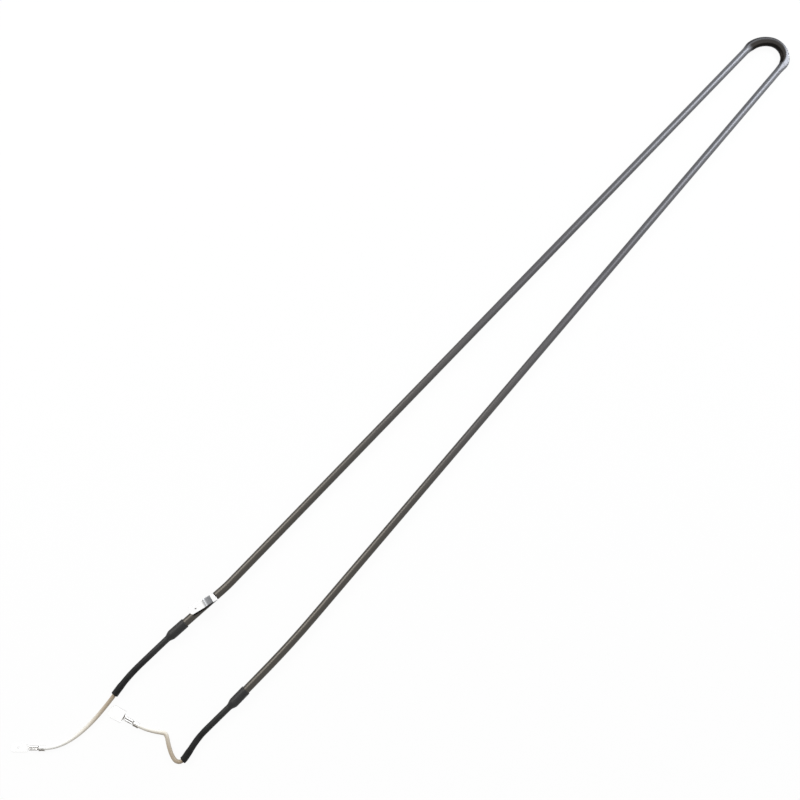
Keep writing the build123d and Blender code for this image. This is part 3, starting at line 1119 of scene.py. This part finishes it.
def sleeve_material():
    """Shrunk black polyolefin with a fine grain, duller towards the leads."""
    mat, tree, shader = new_material("shrunk_polyolefin")
    grain = noise_on(tree, object_coordinates(tree), scale=2600, detail=3)
    cloud = noise_on(tree, object_coordinates(tree), scale=160, detail=4)
    away = dot_product(tree, object_coordinates(tree), Vector((-1, 0, 0)))
    shade(
        tree, shader,
        Base_Color=ramp(tree, cloud, [(0.3, grey(0.006)), (0.75, grey(0.018))]),
        Roughness=mapped(tree, cloud, to=(0.42, 0.6)),
        Specular_IOR_Level=mapped(tree, away, SLEEVE_DULLS, to=(0.34, 0.12)),
        Normal=bump(tree, grain, strength=0.8, distance=0.00012),
    )
    return mat


# The side of the leads and the terminals towards the light: painted light makes the
# leads whiter on it, and painted shade darkens the side that looks away from it.
LIT_SIDE = Vector((0.732, 0.681, 0))


def insulation_material(side):
    """Silicone insulation: browned near the sleeve, ivory towards the terminal, with
    painted light whitening its lit side and painted shade browning the other side."""
    mat, tree, shader = new_material(f"lead_insulation_{side}")
    place = node(tree, "ShaderNodeTexCoord").outputs["Object"]
    normal = node(tree, "ShaderNodeNewGeometry").outputs["Normal"]
    away = node(
        tree, "ShaderNodeVectorMath", {0: place, 1: LEAD_EXIT[side]},
        operation="DISTANCE",
    ).outputs["Value"]
    blotches = noise_on(tree, place, scale=220, detail=4)
    # Painted light and shade: whiter towards the lit side, browner away from it.
    painted_lighting = mapped(tree, dot_product(tree, normal, LIT_SIDE), ends=(-0.9, 0.9))
    share = computed(
        tree, "MULTIPLY_ADD", painted_lighting,
        mapped(tree, away, ends=(0, 0.03), to=(0.05, 0.42)),
        mapped(tree, away, ends=(0, 0.06), to=(0, 0.72)),
    )
    colour = ramp(tree, computed(tree, "MULTIPLY_ADD", blotches, 0.1, share), [
        (0.05, (0.32, 0.25, 0.17, 1)),
        (1.0, (0.92, 0.92, 0.90, 1)),
        (0.35, (0.46, 0.39, 0.30, 1)),
        (0.65, (0.70, 0.66, 0.58, 1)),
    ])
    shade(
        tree, shader,
        Base_Color=colour, Roughness=0.45,
        Normal=bump(tree, blotches, strength=0.2, distance=0.00008),
    )
    return mat


def plated_material(name, dark, light, smoothest, roughest, scale):
    """Plated sheet metal or wire with a faint grain and stains."""
    mat, tree, shader = new_material(name)
    stains = noise_on(tree, object_coordinates(tree), scale, detail=5)
    drawn_out = object_coordinates(tree, scale=(1, 6, 1))
    grain = noise_on(tree, drawn_out, scale * 6, detail=2)
    shade(
        tree, shader,
        Base_Color=ramp(tree, stains, [(0.3, (*dark, 1)), (0.6, (*light, 1))]),
        Roughness=mapped(tree, stains, to=(roughest, smoothest)),
        Metallic=1.0,
        Normal=bump(tree, grain, strength=0.06, distance=0.00002),
    )
    return mat


def dull_material(name, dark, light, rough, scale):
    """A packed, moulded or cast filling."""
    mat, tree, shader = new_material(name)
    cloud = noise_on(tree, object_coordinates(tree), scale, detail=6)
    shade(
        tree, shader,
        Base_Color=ramp(tree, cloud, [(0.3, (*dark, 1)), (0.7, (*light, 1))]),
        Roughness=rough,
        Normal=bump(tree, cloud, strength=0.4, distance=0.0001),
    )
    return mat


def tab_material():
    """Tinned strip with painted shade on its riser, dark grey between the white foot
    and the white blade.
    """
    mat, tree, shader = new_material("tinned_tab")
    along = dot_product(tree, object_coordinates(tree), TAB_AHEAD)
    crown = TAB_CROWN.dot(TAB_AHEAD)
    share = mapped(tree, along, ends=(crown, crown + TAB_ROOT * MM))
    stretched = object_coordinates(tree, scale=(200, 2500, 200))
    streaks = noise_on(tree, stretched, scale=1.0, detail=4)
    # The dark grey stops along the riser are painted shade.
    colour = ramp(tree, computed(tree, "MULTIPLY_ADD", streaks, 0.08, share), [
        (0.22, grey(0.95)),
        (1.00, grey(0.95)),
        (0.26, grey(0.075)),
        (0.64, grey(0.11)),
        (0.86, grey(0.42)),
    ])
    shade(
        tree, shader,
        Base_Color=colour, Roughness=0.3, Metallic=1.0,
        Normal=bump(tree, streaks, strength=0.06, distance=0.00002),
    )
    return mat


def dress(obj, mat):
    obj.data.materials.clear()
    obj.data.materials.append(mat)


def dress_faces(obj, mat, chosen):
    """Gives another material to the faces that a test picks by their normal."""
    obj.data.materials.append(mat)
    last = len(obj.data.materials) - 1
    for face in obj.data.polygons:
        if chosen(face.normal):
            face.material_index = last


# Limits for the parts of a face's normal, by which its material is picked.
TAB_SIDE_FACES = 0.8
TAB_END_FACES = 0.5
TAB_END_LEAN = 0.4
UPRIGHT_FACES = 0.02
BACK_FACES = -0.5
DARK_FACES = -0.15
SIDE_FACES = 0.6

sleeve_black = sleeve_material()
tin = plated_material(
    "tinned_sheet", (0.93, 0.93, 0.92), (0.98, 0.98, 0.98), 0.3, 0.4, 300
)
copper_tin = plated_material(
    "tinned_wire", (0.55, 0.53, 0.50), (0.80, 0.79, 0.77), 0.25, 0.4, 900
)
# Near black: painted shade for the earth tab's long side faces.
tab_side_shade = plated_material(
    "tab_side_painted_shade", (0.010, 0.009, 0.008), (0.030, 0.026, 0.022), 0.4, 0.6, 900
)
bare_brass = plated_material(
    "bare_brass", (0.50, 0.36, 0.20), (0.75, 0.60, 0.40), 0.35, 0.5, 900
)
# Dark metal that paints shade on the terminals' cut edges and barrel sides.
terminal_shade = plated_material(
    "terminal_painted_shade", (0.05, 0.045, 0.04), (0.22, 0.20, 0.17), 0.35, 0.5, 900
)
pin_metal = plated_material(
    "pin_steel", (0.35, 0.34, 0.33), (0.55, 0.55, 0.54), 0.3, 0.45, 700
)
seal_resin = dull_material(
    "seal_resin", (0.30, 0.10, 0.05), (0.42, 0.16, 0.08), 0.35, 600
)
bushing_rubber = dull_material(
    "bushing_rubber", (0.35, 0.33, 0.30), (0.48, 0.46, 0.42), 0.7, 500
)

dress(tube, sheath_material())
dress(magnesia, dull_material(
    "packed_magnesia", (0.60, 0.58, 0.54), (0.80, 0.79, 0.76), 0.9, 1500
))
dress(coil, plated_material(
    "resistance_alloy", (0.20, 0.18, 0.16), (0.38, 0.36, 0.34), 0.35, 0.55, 900
))
dress(weld, plated_material(
    "weld_bead", (0.10, 0.09, 0.08), (0.30, 0.28, 0.26), 0.35, 0.5, 1200
))
dress(tab, tab_material())
# Painted shade: the tab's long side faces are near black.
dress_faces(tab, tab_side_shade, lambda way: abs(way.dot(TAB_LEFT)) > TAB_SIDE_FACES)
dress_faces(
    tab, bare_brass,
    lambda way: way.dot(TAB_AHEAD) > TAB_END_FACES and abs(way.z) < TAB_END_LEAN,
)

for side in ROUTES:
    dress(leads[side], insulation_material(side))
    dress(sleeves[side], sleeve_black)
    dress(strand_bundles[side], copper_tin)
    dress(terminals[side], tin)
    # Painted shade: the cut edges are dark but for those at the back, and so are the
    # sides of the barrels that look away from the lit side.
    ahead = TERMINAL_FRAME[side][1]
    dress_faces(
        terminals[side], terminal_shade,
        lambda way: (abs(way.z) < UPRIGHT_FACES and way.dot(ahead) > BACK_FACES)
        or (way.dot(LIT_SIDE) < DARK_FACES and abs(way.dot(ahead)) < SIDE_FACES),
    )
    dress(frame["nodes"][f"cold_pin_{side}"], pin_metal)
    dress(frame["nodes"][f"resin_seal_{side}"], seal_resin)
    dress(frame["nodes"][f"end_bushing_{side}"], bushing_rubber)
    dress(frame["nodes"][f"splice_{side}"], copper_tin)


# ----------------------------------------------------------- floor and lights
FLOOR_SIZE = 80
FLOOR_Z = -0.00005
FLOOR_GLOW = 0.945
WORLD_LIGHT = 0.45
LAMP_WATTS = 14


def background_share(tree):
    """1 for the rays that see the background, also by way of metal and glass."""
    rays = node(tree, "ShaderNodeLightPath").outputs
    seen = computed(tree, "MAXIMUM", rays["Is Camera Ray"], rays["Is Glossy Ray"])
    return computed(tree, "MAXIMUM", seen, rays["Is Transmission Ray"])


bpy.ops.mesh.primitive_plane_add(size=FLOOR_SIZE, location=(0, 0, FLOOR_Z))
floor = bpy.context.object
floor.name = "floor"
mat, tree, shader = new_material("floor_white")
shade(tree, shader, Base_Color=grey(0.85), Roughness=0.9, Specular_IOR_Level=0.1)
white = node(tree, "ShaderNodeEmission", {"Color": grey(1), "Strength": 1.0})
surface = node(tree, "ShaderNodeMixShader", {
    0: computed(tree, "MULTIPLY", background_share(tree), FLOOR_GLOW),
    1: shader.outputs["BSDF"],
    2: white.outputs["Emission"],
})
output = tree.nodes["Material Output"]
tree.links.new(surface.outputs["Shader"], output.inputs["Surface"])
dress(floor, mat)


def area_lamp(name, place, target, size, colour):
    data = bpy.data.lights.new(name, "AREA")
    data.shape = "DISK"
    data.size = size
    data.energy = LAMP_WATTS
    data.color = colour
    lamp = link(bpy.data.objects.new(name, data))
    lamp.location = place
    direction = Vector(target) - Vector(place)
    lamp.rotation_mode = "QUATERNION"
    lamp.rotation_quaternion = direction.to_track_quat("-Z", "Y")


# Each lamp's name, place, target, size and colour.
for softbox in (
    ("far_softbox", (1.25, 0.0, 1.15), (0.3, 0, 0), 0.7, (0.92, 0.95, 1.0)),
    ("rim_softbox", (1.7, -0.55, 0.28), (0.38, 0, 0), 0.5, (0.95, 0.97, 1.0)),
    ("key_softbox", (-0.3, 1.25, 0.95), (0, 0, 0), 0.7, (1.0, 0.98, 0.95)),
):
    area_lamp(*softbox)

world = bpy.data.worlds.new("studio")
bpy.context.scene.world = world
world.use_nodes = True
tree = world.node_tree
shade(
    tree, tree.nodes["Background"],
    Color=grey(1), Strength=mapped(tree, background_share(tree), to=(WORLD_LIGHT, 1.0)),
)
bpy.context.scene.view_settings.view_transform = "Standard"

bpy.context.view_layer.update()
